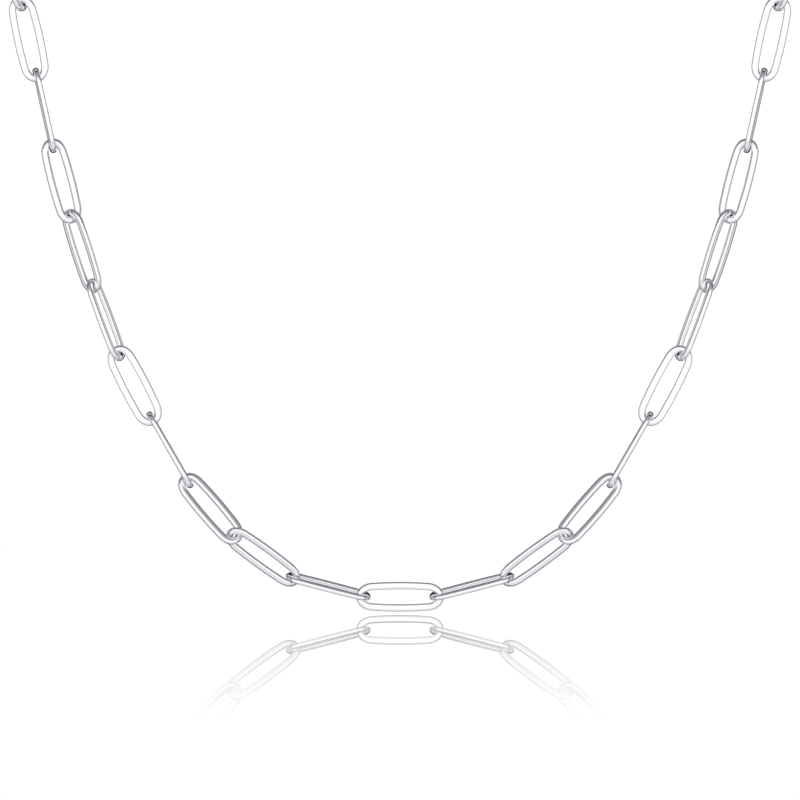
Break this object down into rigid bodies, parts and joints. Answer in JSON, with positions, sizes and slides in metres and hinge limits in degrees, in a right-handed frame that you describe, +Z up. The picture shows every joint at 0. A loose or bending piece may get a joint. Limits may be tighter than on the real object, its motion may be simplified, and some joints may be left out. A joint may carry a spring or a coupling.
{
  "type": "paperclip chain necklace",
  "caption": "Necklace of long oval wire links hooked end to end in a closed loop with a plain clasp at the nape, shaped as it hangs round a neck.",
  "frame": {"origin": "middle of the back of the neck, where the clasp's neck side rests on it", "axes": "+Z up, -Y towards the front, where the chain hangs lowest, +X to the viewer's right when seen from the front"},
  "size_m": [0.1484, 0.0792, 0.169],
  "materials": {
    "links": "polished silver wire",
    "clasp": "polished silver"
  },
  "bodies": {
    "root": {"link_01": "links", "link_02": "links", "link_03": "links", "link_04": "links", "link_05": "links", "link_06": "links", "link_07": "links", "link_08": "links", "link_09": "links", "link_10": "links", "link_11": "links", "link_12": "links", "link_13": "links", "link_14": "links", "link_15": "links", "link_16": "links", "link_17": "links", "link_18": "links", "link_19": "links", "link_20": "links", "link_21": "links", "link_22": "links", "link_23": "links", "link_24": "links", "link_25": "links", "link_26": "links", "link_27": "links", "link_28": "links", "link_29": "links", "link_30": "links", "link_31": "links", "link_32": "links", "link_33": "links", "link_34": "links", "link_35": "links", "link_36": "links", "link_37": "links", "link_38": "links", "link_39": "links", "link_40": "links", "link_41": "links", "link_42": "links", "link_43": "links", "link_44": "links", "link_45": "links", "clasp": "clasp"}
  },
  "joints": []
}
